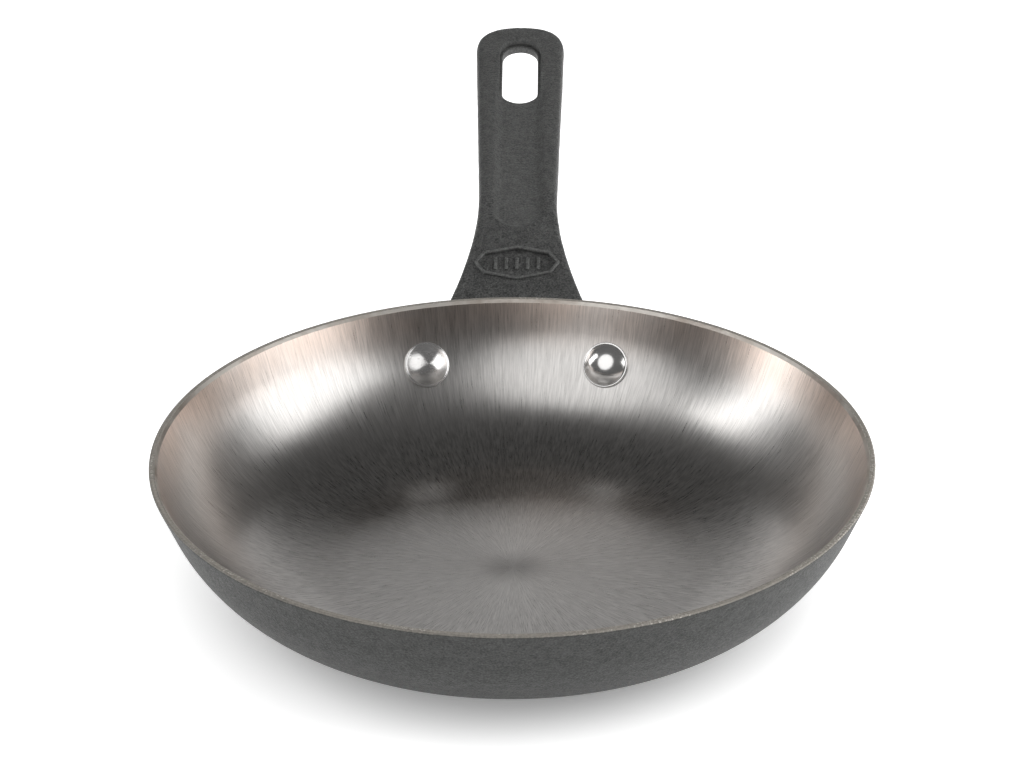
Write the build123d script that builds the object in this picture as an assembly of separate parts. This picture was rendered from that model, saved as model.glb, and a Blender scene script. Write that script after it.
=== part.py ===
from build123d import *
import math
import os

# Riveted cast-iron frying pan.
# Frame: +Z up, origin at the centre of the flat base on the pan's axis, handle along +Y.
# All lengths in millimetres, all angles in degrees.

# Pan casting
RIM_RADIUS = 104.3
RIM_HEIGHT = 41.7
WALL_SLOPE = 67.0
OUTER_BOWL_RADIUS = 50.6
INNER_BOWL_RADIUS = 48.5
FLOOR_THICKNESS = 3.5
LIP_DROP = 0.8
LIP_ROUND = 0.57
BEVEL_OUTER_RADIUS = 102.7
BEVEL_INNER_RADIUS = 101.9
BEVEL_DEPTH = 0.9

# Rivets
RIVET_AZIMUTH = 17.3
RIVET_DIP = 34.0
SHANK_RADIUS = 3.0
HEAD_RADIUS = 7.15
HEAD_HEIGHT = 3.5
BRIM_HEIGHT = 1.1
BRIM_WIDTH = 0.6
HEAD_ROOT = 1.5
TAIL_RADIUS = 5.0
TAIL_HEIGHT = 2.2
TAIL_ROUND = 0.9
TAIL_ROOT = 1.2

# Handle flange, the saddle that lies on the pan's outside wall
FLANGE_THICKNESS = 4.5
FLANGE_TOP = 37.5
FLANGE_TOP_HALF_WIDTH = 24.0
FLANGE_HALF_WIDTH = 38.0
FLANGE_WIDEST_HEIGHT = 25.0
FLANGE_BOTTOM = 11.5
FLANGE_BOTTOM_HALF_WIDTH = 32.0
FLANGE_CORNER_RADIUS = 9.0

# Handle arm, seen from the side
TIP_Y = 247.6
TIP_HEIGHT = 77.4
GRIP_SLOPE = 13.5
ROOT_SLOPE = 28.0
ROOT_Y = 106.0
ROOT_HEIGHT = 37.0
ARM_BEND_RADIUS = 190.0
ROOT_THICKNESS = 7.0
TIP_THICKNESS = 4.8
UPPER_EDGE_ROUND = 2.2
LOWER_EDGE_ROUND = 1.2

# Handle arm, seen from above
END_HALF_WIDTH = 14.95
END_ARC_RADIUS = 19.0
END_CORNER_RADIUS = 8.0
NECK_HALF_WIDTH = 12.75
NECK_Y = 157.5
START_HALF_WIDTH = 36.0
START_Y = 84.0

# Hang hole, narrower below a step
HOLE_NEAR_Y = 204.3
HOLE_FAR_Y = 239.2
HOLE_WIDTH = 14.0
HOLE_STEP_DEPTH = 2.4
HOLE_STEP_WIDTH = 1.0

# Thumb scoop in the top of the grip
SCOOP_NEAR_Y = 137.7
SCOOP_FAR_Y = 212.0
SCOOP_DEPTH = 0.9
SCOOP_HALF_WIDTH = 8.8

# Hollow under the grip
HOLLOW_NEAR_Y = 118.0
HOLLOW_FAR_Y = 196.0
HOLLOW_ROOF = 3.4
HOLLOW_HALF_WIDTH = 8.2
HOLLOW_CORNER_RADIUS = 7.5

# Eight-sided panel with plain ribs on the flare
PANEL_Y = 122.6
PANEL_WIDTH = 27.6
PANEL_LENGTH = 14.8
PANEL_SHOULDER_WIDTH = 21.6
PANEL_SHOULDER_LENGTH = 9.4
PANEL_BORDER = 1.1
PANEL_BORDER_HEIGHT = 0.45
PANEL_DEPTH = 0.5
RIB_COUNT = 5
RIB_PITCH = 3.4
RIB_WIDTH = 1.2
RIB_LENGTH = 5.5

# Larger than any stretch of the handle that a cutting tool has to pass
REACH = 60.0


def slope_tan(angle):
    """Rise over run of an angle in degrees."""
    return math.tan(math.radians(angle))


def wall_radius(height, offset=0.0):
    """Radius of the straight outside wall line at a height, moved square to itself by an offset."""
    run = (RIM_HEIGHT - LIP_DROP - height) / slope_tan(WALL_SLOPE)
    return RIM_RADIUS - run + offset / math.sin(math.radians(WALL_SLOPE))


def outside_line(offset, top):
    """Base, bowl curve and straight wall of the outside, from the axis up to a height."""
    foot = (wall_radius(-offset, offset), 0, -offset)
    points = [(0, 0, -offset), foot, (wall_radius(top, offset), 0, top)]
    return FilletPolyline(*points, radius=OUTER_BOWL_RADIUS + offset)


def filled_pan(offset=0.0, top=RIM_HEIGHT - LIP_DROP):
    """The pan's outside shape with no hollow, grown outwards by an offset."""
    side = outside_line(offset, top)
    across = Line(side @ 1, (0, 0, top))
    axis = Line((0, 0, top), (0, 0, -offset))
    return revolve(make_face([side, across, axis]), Axis.Z)


def bowl_centre(corner_radius, bowl_radius, base_height):
    """Radius and height of the centre of a bowl curve between a flat base and the wall."""
    return corner_radius - bowl_radius * slope_tan(WALL_SLOPE / 2), base_height + bowl_radius


def outer_bowl_centre():
    """Centre of the outside bowl curve."""
    return bowl_centre(wall_radius(0), OUTER_BOWL_RADIUS, 0)


def floor_corner():
    """Radius where the straight inside wall line would meet the cooking floor."""
    rise = RIM_HEIGHT - BEVEL_DEPTH - FLOOR_THICKNESS
    return BEVEL_INNER_RADIUS - rise / slope_tan(WALL_SLOPE)


def inner_bowl_centre():
    """Centre of the inside bowl curve."""
    return bowl_centre(floor_corner(), INNER_BOWL_RADIUS, FLOOR_THICKNESS)


def pan_shell():
    """The turned pan: curved wall, flat floor, rounded lip and bare bevel."""
    foot = (wall_radius(0), 0, 0)
    lip = (wall_radius(RIM_HEIGHT), 0, RIM_HEIGHT)
    land_end = (BEVEL_OUTER_RADIUS, 0, RIM_HEIGHT)
    outside = FilletPolyline((0, 0, 0), foot, lip, land_end, radius=[OUTER_BOWL_RADIUS, LIP_ROUND])
    bevel = Line(land_end, (BEVEL_INNER_RADIUS, 0, RIM_HEIGHT - BEVEL_DEPTH))
    corner = (floor_corner(), 0, FLOOR_THICKNESS)
    inside = FilletPolyline(bevel @ 1, corner, (0, 0, FLOOR_THICKNESS), radius=INNER_BOWL_RADIUS)
    axis = Line((0, 0, FLOOR_THICKNESS), (0, 0, 0))
    return revolve(make_face([outside, bevel, inside, axis]), Axis.Z)


def rivet_seat():
    """Radius and height of the middle of a rivet head on the inside bowl curve."""
    radius, height = inner_bowl_centre()
    dip = math.radians(RIVET_DIP)
    return radius + INNER_BOWL_RADIUS * math.cos(dip), height - INNER_BOWL_RADIUS * math.sin(dip)


def rivet_plane(side):
    """Plane on the inside wall at a rivet; its normal points into the pan."""
    radius, height = rivet_seat()
    dip = math.radians(RIVET_DIP)
    azimuth = math.radians(RIVET_AZIMUTH) * side
    outwards = Vector(math.sin(azimuth), math.cos(azimuth), 0)
    normal = outwards * -math.cos(dip) + Vector(0, 0, math.sin(dip))
    return Plane(origin=outwards * radius + Vector(0, 0, height), z_dir=normal)


def rivet_grip():
    """Length of shank between the inside wall and the flange's outer face."""
    seat_radius, seat_height = rivet_seat()
    radius, height = outer_bowl_centre()
    dip = math.radians(RIVET_DIP)
    along = (seat_radius - radius) * math.cos(dip) - (seat_height - height) * math.sin(dip)
    beside = (seat_radius - radius) * math.sin(dip) + (seat_height - height) * math.cos(dip)
    return math.sqrt((OUTER_BOWL_RADIUS + FLANGE_THICKNESS) ** 2 - beside**2) - along


def rivet_bore(side):
    """Straight hole through wall and flange for one rivet."""
    return rivet_plane(side) * Cylinder(SHANK_RADIUS, REACH)


def pan_body():
    """The pan casting with its two rivet holes."""
    return pan_shell() - rivet_bore(-1) - rivet_bore(1)


def arm_corner():
    """Where the straight lines of grip and root would meet on the arm's top."""
    grip = slope_tan(GRIP_SLOPE)
    root = slope_tan(ROOT_SLOPE)
    y = (TIP_HEIGHT - grip * TIP_Y - ROOT_HEIGHT + root * ROOT_Y) / (root - grip)
    return y, TIP_HEIGHT - grip * (TIP_Y - y)


def arm_top(y):
    """Height and slope, in radians, of the arm's top at a distance along the handle."""
    corner_y, corner_height = arm_corner()
    tangent_length = ARM_BEND_RADIUS * slope_tan((ROOT_SLOPE - GRIP_SLOPE) / 2)
    grip = math.radians(GRIP_SLOPE)
    root = math.radians(ROOT_SLOPE)
    if y >= corner_y + tangent_length * math.cos(grip):
        return corner_height + (y - corner_y) * math.tan(grip), grip
    if y <= corner_y - tangent_length * math.cos(root):
        return corner_height + (y - corner_y) * math.tan(root), root
    centre_y = corner_y + tangent_length * math.cos(grip) + ARM_BEND_RADIUS * math.sin(grip)
    centre_height = corner_height + tangent_length * math.sin(grip) - ARM_BEND_RADIUS * math.cos(grip)
    slope = math.asin((centre_y - y) / ARM_BEND_RADIUS)
    return centre_height + ARM_BEND_RADIUS * math.cos(slope), slope


def top_plane(y):
    """Plane on the arm's top: its X runs across the handle, its Z is square to the top."""
    height, slope = arm_top(y)
    return Plane(origin=(0, y, height), x_dir=(1, 0, 0), z_dir=(0, -math.sin(slope), math.cos(slope)))


def arm_line(depth, tip_depth):
    """The arm's side view at a depth under its top: root line, bend, grip line."""
    corner_y, corner_height = arm_corner()
    middle = math.radians((ROOT_SLOPE + GRIP_SLOPE) / 2)
    corner_depth = depth / math.cos(math.radians((ROOT_SLOPE - GRIP_SLOPE) / 2))
    start = top_plane(START_Y - ROOT_THICKNESS).from_local_coords((0, 0, -depth))
    corner = Vector(0, corner_y, corner_height)
    corner += Vector(0, math.sin(middle), -math.cos(middle)) * corner_depth
    tip = top_plane(TIP_Y + ROOT_THICKNESS).from_local_coords((0, 0, -tip_depth))
    return FilletPolyline(start, corner, tip, radius=ARM_BEND_RADIUS - depth)


def arm_band(upper, lower, tip_lower):
    """Slab under the arm's top, wider than any outline, whose underside rises towards the tip."""
    top = arm_line(upper, upper)
    bottom = arm_line(lower, tip_lower)
    near = Line(bottom @ 0, top @ 0)
    far = Line(top @ 1, bottom @ 1)
    return extrude(make_face([top, far, bottom, near]), REACH, dir=(1, 0, 0), both=True)


def arm_outline():
    """The arm from above: rounded end, slight taper, hollow flare to the pan."""
    end_y = TIP_Y - END_ARC_RADIUS + math.sqrt(END_ARC_RADIUS**2 - END_HALF_WIDTH**2)
    end = ThreePointArc((-END_HALF_WIDTH, end_y), (0, TIP_Y), (END_HALF_WIDTH, end_y))
    right = Line((END_HALF_WIDTH, end_y), (NECK_HALF_WIDTH, NECK_Y))
    flare = TangentArc(right @ 1, (START_HALF_WIDTH, START_Y), tangent=right % 1)
    near = Line((START_HALF_WIDTH, START_Y), (-START_HALF_WIDTH, START_Y))
    face = make_face([end, right, flare, near, mirror(flare, Plane.YZ), mirror(right, Plane.YZ)])
    return fillet(face.vertices().sort_by(Axis.Y)[-2:], END_CORNER_RADIUS)


def outline_edges(solid, low, high):
    """Edges that run round the arm's outline between two depths under its top."""
    picked = []
    for edge in solid.edges():
        middle = edge @ 0.5
        height, slope = arm_top(middle.Y)
        level = low <= (height - middle.Z) * math.cos(slope) <= high
        across = abs(middle.X) < 1 and middle.Y < TIP_Y - END_ARC_RADIUS
        upright = abs((edge % 0.5).Z) > 0.9
        if level and not across and not upright:
            picked.append(edge)
    return picked


def arm():
    """The arm with rounded edges, before anything is cut into it."""
    blank = extrude(arm_outline(), 2 * REACH) & arm_band(0, ROOT_THICKNESS, TIP_THICKNESS)
    rounded = fillet(outline_edges(blank, -1, 1), UPPER_EDGE_ROUND)
    lower = outline_edges(rounded, TIP_THICKNESS - 1, ROOT_THICKNESS + 1)
    return fillet(lower, LOWER_EDGE_ROUND)


def flange():
    """The saddle between the pan's wall and the arm, wide enough for both rivets."""
    half = [
        (FLANGE_TOP_HALF_WIDTH, FLANGE_TOP + 1),
        (FLANGE_HALF_WIDTH, FLANGE_WIDEST_HEIGHT),
        (FLANGE_BOTTOM_HALF_WIDTH, FLANGE_BOTTOM),
    ]
    outline = make_face(Polyline(*half, *[(-x, z) for x, z in reversed(half)], close=True))
    corners = [corner for corner in outline.vertices() if corner.Y < FLANGE_TOP]
    outline = fillet(corners, FLANGE_CORNER_RADIUS)
    prism = extrude(Plane.XZ * outline, -2 * RIM_RADIUS)
    return filled_pan(FLANGE_THICKNESS, FLANGE_TOP) & prism


def hang_hole():
    """Cutter for the hang hole: an obround opening over a narrower one."""
    plane = top_plane((HOLE_NEAR_Y + HOLE_FAR_Y) / 2)
    length = (HOLE_FAR_Y - HOLE_NEAR_Y) / math.cos(math.radians(GRIP_SLOPE))
    upper = Rot(0, 0, 90) * SlotOverall(length, HOLE_WIDTH)
    lower = Rot(0, 0, 90) * SlotOverall(length - 2 * HOLE_STEP_WIDTH, HOLE_WIDTH - 2 * HOLE_STEP_WIDTH)
    mouth = plane * Pos(0, 0, -HOLE_STEP_DEPTH) * extrude(upper, 2 * HOLE_STEP_DEPTH)
    throat = plane * Pos(0, 0, -2 * ROOT_THICKNESS) * extrude(lower, 2 * ROOT_THICKNESS)
    return mouth + throat


def thumb_scoop():
    """Cutter for the shallow scoop under the thumb, round at both ends."""
    radius = (SCOOP_HALF_WIDTH**2 + SCOOP_DEPTH**2) / (2 * SCOOP_DEPTH)
    ends = [SCOOP_NEAR_Y + SCOOP_HALF_WIDTH, SCOOP_FAR_Y - SCOOP_HALF_WIDTH]
    near, far = [top_plane(y) * Pos(0, 0, radius - SCOOP_DEPTH) for y in ends]
    run = far.position - near.position
    barrel = Plane(origin=(near.position + far.position) / 2, z_dir=run) * Cylinder(radius, run.length)
    return barrel + near * Sphere(radius) + far * Sphere(radius)


def grip_hollow():
    """Cutter for the hollow under the grip."""
    length = HOLLOW_FAR_Y - HOLLOW_NEAR_Y
    outline = RectangleRounded(2 * HOLLOW_HALF_WIDTH, length, HOLLOW_CORNER_RADIUS)
    prism = Pos(0, HOLLOW_NEAR_Y + length / 2, 0) * extrude(outline, 2 * REACH)
    return prism & arm_band(HOLLOW_ROOF, 2 * ROOT_THICKNESS, 2 * ROOT_THICKNESS)


def panel_layer(sketch, low, high):
    """A sketch on the panel's plane, made solid between two heights over the arm's top."""
    return top_plane(PANEL_Y) * Pos(0, 0, low) * extrude(sketch, high - low)


def add_panel(handle):
    """Cut the eight-sided panel into the flare, with its raised border and plain ribs."""
    x, y = PANEL_SHOULDER_WIDTH / 2, PANEL_SHOULDER_LENGTH / 2
    right = [(0, PANEL_LENGTH / 2), (x, y), (PANEL_WIDTH / 2, 0), (x, -y), (0, -PANEL_LENGTH / 2)]
    left = [(-x, -y), (-PANEL_WIDTH / 2, 0), (-x, y)]
    outer = make_face(Polyline(*right, *left, close=True))
    inner = offset(outer, -PANEL_BORDER, kind=Kind.INTERSECTION)
    rib = SlotOverall(RIB_LENGTH, RIB_WIDTH, rotation=90)
    ribs = Sketch() + [place * rib for place in GridLocations(RIB_PITCH, 1, RIB_COUNT, 1)]
    handle += panel_layer(outer, -HOLLOW_ROOF / 2, PANEL_BORDER_HEIGHT)
    handle -= panel_layer(inner, -PANEL_DEPTH, ROOT_THICKNESS)
    return handle + panel_layer(ribs, -HOLLOW_ROOF / 2, 0)


def handle():
    """The handle casting: flange and arm, hollow, scoop, panel, hang hole and rivet holes."""
    casting = add_panel(arm() - thumb_scoop() - hang_hole() - grip_hollow()) + flange()
    return casting - filled_pan() - rivet_bore(-1) - rivet_bore(1)


def rivet(side, pan, grip):
    """One set rivet: domed head inside the pan, shank, upset tail on the flange."""
    top = (0, 0, HEAD_HEIGHT)
    root = (0, 0, -HEAD_ROOT)
    brim = (HEAD_RADIUS, 0, BRIM_HEIGHT)
    dome_foot = (HEAD_RADIUS - BRIM_WIDTH, 0, BRIM_HEIGHT)
    sides = Polyline(root, (HEAD_RADIUS, 0, -HEAD_ROOT), brim, dome_foot)
    dome = TangentArc(top, dome_foot, tangent=(1, 0, 0))
    head = revolve(make_face([sides, dome, Line(top, root)]), Axis.Z)
    tail_length = TAIL_HEIGHT + TAIL_ROOT
    tail = Pos(0, 0, -rivet_grip() - TAIL_HEIGHT + tail_length / 2) * Cylinder(TAIL_RADIUS, tail_length)
    tail = fillet(tail.edges().sort_by(Axis.Z)[0], TAIL_ROUND)
    shank = Pos(0, 0, -rivet_grip() / 2) * Cylinder(SHANK_RADIUS, rivet_grip())
    return rivet_plane(side) * (head + shank + tail) - pan - grip


def main():
    """Write one STEP file for each piece."""
    os.makedirs("parts", exist_ok=True)
    pan = pan_body()
    grip = handle()
    pieces = {
        "pan_body": pan,
        "handle": grip,
        "rivet_left": rivet(-1, pan, grip),
        "rivet_right": rivet(1, pan, grip),
    }
    for name, piece in pieces.items():
        export_step(piece, f"parts/{name}.step")
        print(name, round(piece.volume), "mm3", piece.bounding_box())


main()
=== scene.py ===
"""Riveted cast-iron frying pan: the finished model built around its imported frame."""

import logging
import math
from dataclasses import dataclass, field
from enum import Enum
from functools import partial, reduce

import bmesh
import bpy
import numpy as np
from mathutils import Matrix, Vector, noise


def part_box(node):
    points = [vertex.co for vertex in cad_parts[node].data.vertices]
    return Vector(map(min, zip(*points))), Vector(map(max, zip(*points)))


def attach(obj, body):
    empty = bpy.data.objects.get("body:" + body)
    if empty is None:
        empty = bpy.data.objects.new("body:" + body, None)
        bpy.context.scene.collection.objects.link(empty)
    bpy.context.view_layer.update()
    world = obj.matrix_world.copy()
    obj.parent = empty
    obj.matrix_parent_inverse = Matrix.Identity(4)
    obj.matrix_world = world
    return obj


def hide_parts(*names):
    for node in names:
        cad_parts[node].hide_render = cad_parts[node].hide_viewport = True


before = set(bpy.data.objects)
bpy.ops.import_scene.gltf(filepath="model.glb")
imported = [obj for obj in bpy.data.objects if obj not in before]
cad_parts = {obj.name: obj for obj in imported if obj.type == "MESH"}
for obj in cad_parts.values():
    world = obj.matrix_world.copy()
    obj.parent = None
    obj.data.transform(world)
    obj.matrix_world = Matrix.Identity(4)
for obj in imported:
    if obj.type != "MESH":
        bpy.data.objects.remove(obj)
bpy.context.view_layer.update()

LOG = logging.getLogger("frying_pan")
BODY = "root"
MM = 0.001
ON_AXIS = 1e-7


class Side(Enum):
    """Which of the two rivets: the pan is seen from its front, with the handle behind it."""

    LEFT = -1
    RIGHT = 1


class VertexLayer(Enum):
    """What is read from a mesh's vertices."""

    POINT = "co"
    NORMAL = "normal"


class LightShape(Enum):
    """The outline of a soft light's face."""

    RECTANGLE = "RECTANGLE"
    ELLIPSE = "ELLIPSE"


# --- Turned outlines and meshes ---


@dataclass(frozen=True)
class Corner:
    """One corner of a turned outline, in metres, and the radius that rounds it off.

    Args:
        radius: distance from the axis.
        height: distance along the axis.
        rounding: radius of the arc that takes the corner's place, or 0 for a sharp one.
    """

    radius: float
    height: float
    rounding: float = 0.0


@dataclass(frozen=True)
class Outline:
    """A turned outline as points, with the index of the middle point at each corner.

    Args:
        points: array of (radius, height) rows, in metres.
        marks: for each corner, the index of the point in the middle of it.
    """

    points: np.ndarray
    marks: list[int]


def arc_points(before: Corner, corner: Corner, after: Corner, step: float) -> np.ndarray:
    """Points of the arc that rounds off a corner.

    Args:
        before: the corner before it.
        corner: the corner that is rounded off.
        after: the corner after it.
        step: largest turn between two points, in radians.

    Returns:
        An array of (radius, height) rows from one tangent point to the other.
    """
    here = np.array([corner.radius, corner.height])
    back = np.array([before.radius, before.height]) - here
    ahead = np.array([after.radius, after.height]) - here
    back /= np.linalg.norm(back)
    ahead /= np.linalg.norm(ahead)
    half_angle = math.acos(float(np.clip(back @ ahead, -1, 1))) / 2
    middle = (back + ahead) / np.linalg.norm(back + ahead)
    centre = here + middle * corner.rounding / math.sin(half_angle)
    start = here + back * corner.rounding / math.tan(half_angle) - centre
    turn = math.pi - 2 * half_angle
    count = 2 * max(1, math.ceil(turn / step / 2))
    if start[0] * middle[1] - start[1] * middle[0] > 0:
        turn = -turn
    return np.array([centre + rotated(start, turn * i / count) for i in range(count + 1)])


def rotated(vector: np.ndarray, angle: float) -> np.ndarray:
    """A flat vector turned by an angle in radians."""
    cosine, sine = math.cos(angle), math.sin(angle)
    return np.array([cosine * vector[0] - sine * vector[1], sine * vector[0] + cosine * vector[1]])


def rounded_outline(corners: list[Corner], step: float, spacing: float) -> Outline:
    """Joins corners with straight runs and arcs, and divides long runs evenly.

    Args:
        corners: the outline's corners in order; the first and last are kept sharp.
        step: largest turn between two points of an arc, in radians.
        spacing: longest piece of a straight run, in metres.

    Returns:
        The outline.
    """
    stretches, marks, total = [], [], 0
    for index, corner in enumerate(corners):
        if 0 < index < len(corners) - 1 and corner.rounding > 0:
            arc = arc_points(corners[index - 1], corner, corners[index + 1], step)
        else:
            arc = np.array([[corner.radius, corner.height]])
        if stretches:
            start = stretches[-1][-1]
            pieces = max(1, math.ceil(np.linalg.norm(arc[0] - start) / spacing))
            run = np.array([start + (arc[0] - start) * i / pieces for i in range(1, pieces)])
            if len(run):
                stretches.append(run)
                total += len(run)
        marks.append(total + len(arc) // 2)
        stretches.append(arc)
        total += len(arc)
    return Outline(np.vstack(stretches), marks)


def spun_faces(rings: list[list[int]]) -> list[list[int]]:
    """Faces between rings of vertices, where a ring of one vertex is a pole.

    Args:
        rings: for each outline point, the indices of its vertices round the axis.

    Returns:
        A list of faces, ring by ring.
    """
    faces = []
    for lower, upper in zip(rings, rings[1:]):
        count = max(len(lower), len(upper))
        for i in range(count):
            j = (i + 1) % count
            near = [lower[i % len(lower)], lower[j % len(lower)]]
            far = [upper[j % len(upper)], upper[i % len(upper)]]
            faces.append(list(dict.fromkeys(near + far)))
    return faces


def spun_mesh(name: str, points: np.ndarray, segments: int) -> bpy.types.Object:
    """A closed solid of revolution about the local Z axis.

    Args:
        name: the piece's name.
        points: (radius, height) rows from the axis, round the section and back, anticlockwise.
        segments: number of steps round the axis.

    Returns:
        The new object. Its faces are in the points' order, one ring after another.
    """
    vertices, rings = [], []
    for radius, height in points:
        count = 1 if radius < ON_AXIS else segments
        rings.append(list(range(len(vertices), len(vertices) + count)))
        angles = [2 * math.pi * i / segments for i in range(count)]
        vertices += [(radius * math.cos(a), radius * math.sin(a), height) for a in angles]
    return mesh_object(name, np.array(vertices), spun_faces(rings))


def mesh_object(name: str, vertices: np.ndarray, faces: list[list[int]]) -> bpy.types.Object:
    """A smooth-shaded mesh object in the scene.

    Args:
        name: the object's name.
        vertices: array of points, in metres.
        faces: vertex indices of each face.

    Returns:
        The new object.
    """
    mesh = bpy.data.meshes.new(name)
    mesh.from_pydata([tuple(v) for v in vertices], [], faces)
    mesh.validate()
    mesh.shade_smooth()
    piece = bpy.data.objects.new(name, mesh)
    bpy.context.scene.collection.objects.link(piece)
    return piece


def slab_mesh(name: str, front: np.ndarray, back: np.ndarray) -> bpy.types.Object:
    """A closed slab between two grids of points of the same size.

    Args:
        name: the object's name.
        front: array of rows, columns and coordinates.
        back: the same for the slab's other face.

    Returns:
        The new object.
    """
    rows, columns = front.shape[:2]
    vertices = np.vstack([front.reshape(-1, 3), back.reshape(-1, 3)])
    grid = np.arange(rows * columns).reshape(rows, columns)
    faces = []
    for i in range(rows - 1):
        for j in range(columns - 1):
            face = [grid[i, j], grid[i, j + 1], grid[i + 1, j + 1], grid[i + 1, j]]
            faces.append([int(v) for v in face])
            faces.append([int(v) + rows * columns for v in reversed(face)])
    border = [*grid[0, :], *grid[1:, -1], *grid[-1, -2::-1], *grid[-2:0:-1, 0]]
    for a, b in zip(border, border[1:] + border[:1]):
        faces.append([int(b), int(a), int(a) + rows * columns, int(b) + rows * columns])
    return mesh_object(name, vertices, faces)


def stacked_mesh(name: str, loops: list[np.ndarray], ring: bool = False) -> bpy.types.Object:
    """A mesh over a stack of closed loops that have the same number of points.

    Args:
        name: the object's name.
        loops: the points of each loop, in order.
        ring: True to join the last loop to the first, False to close both ends with flat faces.

    Returns:
        The new object.
    """
    count, total = len(loops[0]), len(loops)
    faces = []
    for level in range(total if ring else total - 1):
        low, high = level * count, (level + 1) % total * count
        for i in range(count):
            j = (i + 1) % count
            faces.append([low + i, low + j, high + j, high + i])
    if not ring:
        faces.append(list(range(count))[::-1])
        faces.append([(total - 1) * count + i for i in range(count)])
    return mesh_object(name, np.vstack(loops), faces)


def apply_modifiers(piece: bpy.types.Object) -> None:
    """Applies all modifiers of a piece to its mesh.

    Args:
        piece: a mesh object.
    """
    graph = bpy.context.evaluated_depsgraph_get()
    shaped = bpy.data.meshes.new_from_object(piece.evaluated_get(graph))
    piece.modifiers.clear()
    old = piece.data
    piece.data = shaped
    bpy.data.meshes.remove(old)


def cut_away(piece: bpy.types.Object, cutter: bpy.types.Object) -> None:
    """Cuts one closed mesh out of another and removes the cutter.

    Args:
        piece: the mesh that stays.
        cutter: the mesh that is cut away.
    """
    cut = piece.modifiers.new("cut", "BOOLEAN")
    cut.operation = "DIFFERENCE"
    cut.solver = "EXACT"
    cut.object = cutter
    apply_modifiers(piece)
    bpy.data.objects.remove(cutter)


def vertex_values(piece: bpy.types.Object, layer: VertexLayer) -> np.ndarray:
    """Reads three numbers from each vertex of a piece.

    Args:
        piece: a mesh object.
        layer: what is read.

    Returns:
        An array with a row for each vertex.
    """
    values = np.empty(len(piece.data.vertices) * 3, np.float32)
    piece.data.vertices.foreach_get(layer.value, values)
    return values.reshape(-1, 3).astype(float)


def set_coordinates(piece: bpy.types.Object, points: np.ndarray) -> None:
    """Moves the piece's vertices to an array of points."""
    piece.data.vertices.foreach_set("co", points.astype(np.float32).ravel())
    piece.data.update()


def smoothed(piece: bpy.types.Object, rounds: int) -> None:
    """Relaxes a mesh towards its neighbours.

    Args:
        piece: the mesh to relax.
        rounds: how many times each vertex moves halfway to its neighbours' middle.
    """
    edges = np.empty(len(piece.data.edges) * 2, np.int32)
    piece.data.edges.foreach_get("vertices", edges)
    one, two = edges.reshape(-1, 2).T
    points = vertex_values(piece, VertexLayer.POINT)
    count = np.bincount(edges, minlength=len(points))[:, None].clip(1)
    for _ in range(rounds):
        total = np.zeros_like(points)
        for axis in range(3):
            total[:, axis] += np.bincount(one, points[two, axis], len(points))
            total[:, axis] += np.bincount(two, points[one, axis], len(points))
        points += (total / count - points) / 2
    set_coordinates(piece, points)


def smooth_step(values: np.ndarray, low: float, high: float) -> np.ndarray:
    """Rises smoothly from 0 at low to 1 at high; high may be the lower of the two."""
    share = np.clip((values - low) / (high - low), 0, 1)
    return share * share * (3 - 2 * share)


# --- Shader groups ---


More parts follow.
